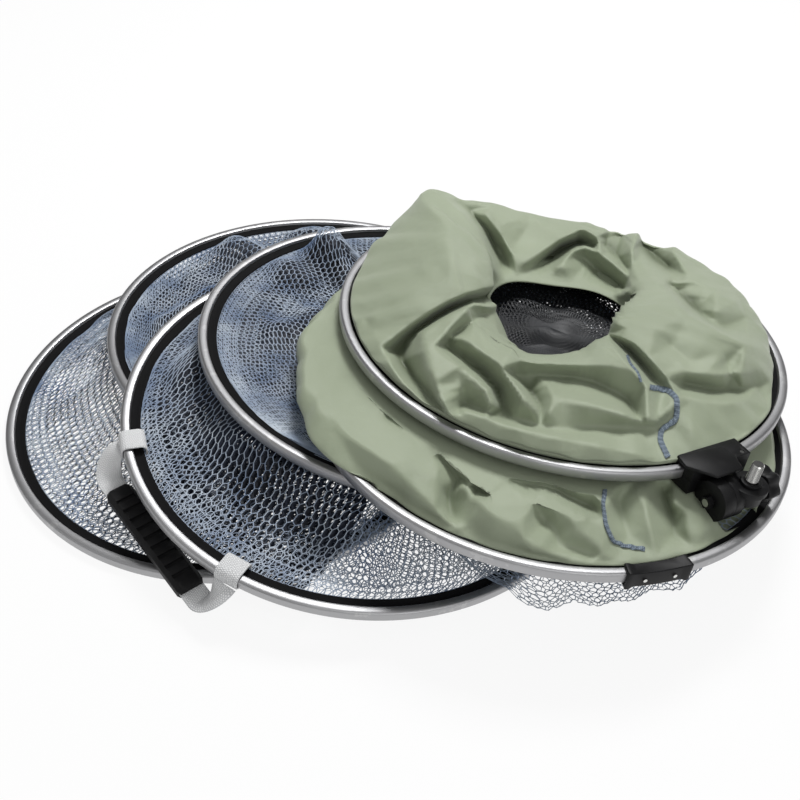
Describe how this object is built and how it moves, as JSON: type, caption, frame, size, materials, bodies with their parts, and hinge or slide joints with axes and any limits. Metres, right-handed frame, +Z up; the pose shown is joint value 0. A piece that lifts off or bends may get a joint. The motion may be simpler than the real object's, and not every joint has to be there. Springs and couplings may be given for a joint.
{
  "type": "keep net",
  "caption": "Folding fishing keep net laid flat: grooved metal hoops, knotless net walls, nylon sleeve round the mouth, angle lock with a threaded stud, and a webbing handle with a rubber grip.",
  "frame": {"origin": "on the floor under the middle of the folded net's bounding box", "axes": "+X to the right of the picture, +Y away from the viewer, +Z up"},
  "size_m": [0.6755, 0.539, 0.1434],
  "materials": {
    "satin_aluminium": "satin",
    "black_tape": "woven",
    "blue_grey_net": "knotless net",
    "dark_net": "knotless net",
    "sage_nylon": "coated nylon, slight sheen",
    "black_plastic": "fine grain",
    "black_rubber": "matt",
    "grey_webbing": "woven webbing",
    "stainless_steel": "bright"
  },
  "bodies": {
    "bottom_ring": {"hoop_1": "satin_aluminium", "hoop_1_band": "black_tape", "base_net": "blue_grey_net", "net_panel_1": "blue_grey_net"},
    "ring_2": {"hoop_2": "satin_aluminium", "hoop_2_band": "black_tape", "net_panel_2": "blue_grey_net"},
    "ring_3": {"hoop_3": "satin_aluminium", "hoop_3_band": "black_tape", "net_panel_3": "blue_grey_net"},
    "ring_4": {"hoop_4": "satin_aluminium", "hoop_4_band": "black_tape", "net_panel_4": "blue_grey_net", "net_panel_4_slack": "blue_grey_net"},
    "ring_5": {"hoop_5": "satin_aluminium", "hoop_5_band": "black_tape", "hoop_5_joiner": "black_plastic", "hoop_5_joiner_screw_1": "stainless_steel", "hoop_5_joiner_screw_2": "stainless_steel", "sleeve": "sage_nylon", "mouth_net": "dark_net"},
    "top_ring": {"hoop_6": "satin_aluminium", "hoop_6_band": "black_tape", "lock_clamp_upper": "black_plastic", "lock_clamp_lower": "black_plastic", "lock_clamp_screw_1": "stainless_steel", "lock_clamp_screw_2": "stainless_steel", "lock_cover": "black_plastic", "lock_bolt_nut": "stainless_steel"},
    "lock_arm": {"lock_barrel": "black_plastic", "lock_stud": "stainless_steel", "lock_stud_collar": "black_rubber"},
    "lock_bolt": {"lock_knob": "black_plastic", "lock_pivot_bolt": "stainless_steel"},
    "handle": {"handle_strap": "grey_webbing", "handle_grip": "black_rubber"}
  },
  "joints": [
    {"name": "hoop_2_draw", "type": "slide", "parent": "bottom_ring", "child": "ring_2", "axis": [-0.1741, -0.2325, 0.9569], "range_m": [0, 0.4031], "deforming": ["net_panel_1"]},
    {"name": "hoop_3_draw", "type": "slide", "parent": "ring_2", "child": "ring_3", "axis": [-0.1105, 0.3413, 0.9334], "range_m": [0, 0.4082], "deforming": ["net_panel_2"]},
    {"name": "hoop_4_draw", "type": "slide", "parent": "ring_3", "child": "ring_4", "axis": [-0.1341, -0.1915, 0.9723], "range_m": [0, 0.3922], "deforming": ["net_panel_3"]},
    {"name": "hoop_5_draw", "type": "slide", "parent": "ring_4", "child": "ring_5", "axis": [-0.2442, 0.1831, 0.9523], "range_m": [0, 0.4119], "deforming": ["net_panel_4", "net_panel_4_slack"]},
    {"name": "hoop_6_draw", "type": "slide", "parent": "ring_5", "child": "top_ring", "axis": [-0.0387, -0.1755, 0.9837], "range_m": [0, 0.3828], "deforming": ["sleeve"]},
    {"name": "lock_tilt", "type": "hinge", "parent": "top_ring", "child": "lock_arm", "pos_m": [0.26167, -0.18519, 0.08465], "axis": [0.8562, 0.4978, -0.1386], "range_deg": [0, 90]},
    {"name": "knob_turn", "type": "hinge", "parent": "top_ring", "child": "lock_bolt", "pos_m": [0.26167, -0.18519, 0.08465], "axis": [0.8562, 0.4978, -0.1386], "continuous": true},
    {"name": "handle_swing", "type": "hinge", "parent": "ring_3", "child": "handle", "pos_m": [-0.16004, -0.18705, 0.04599], "axis": [-0.6421, 0.7594, 0.105], "range_deg": [0, 120], "deforming": ["handle_strap"]}
  ]
}
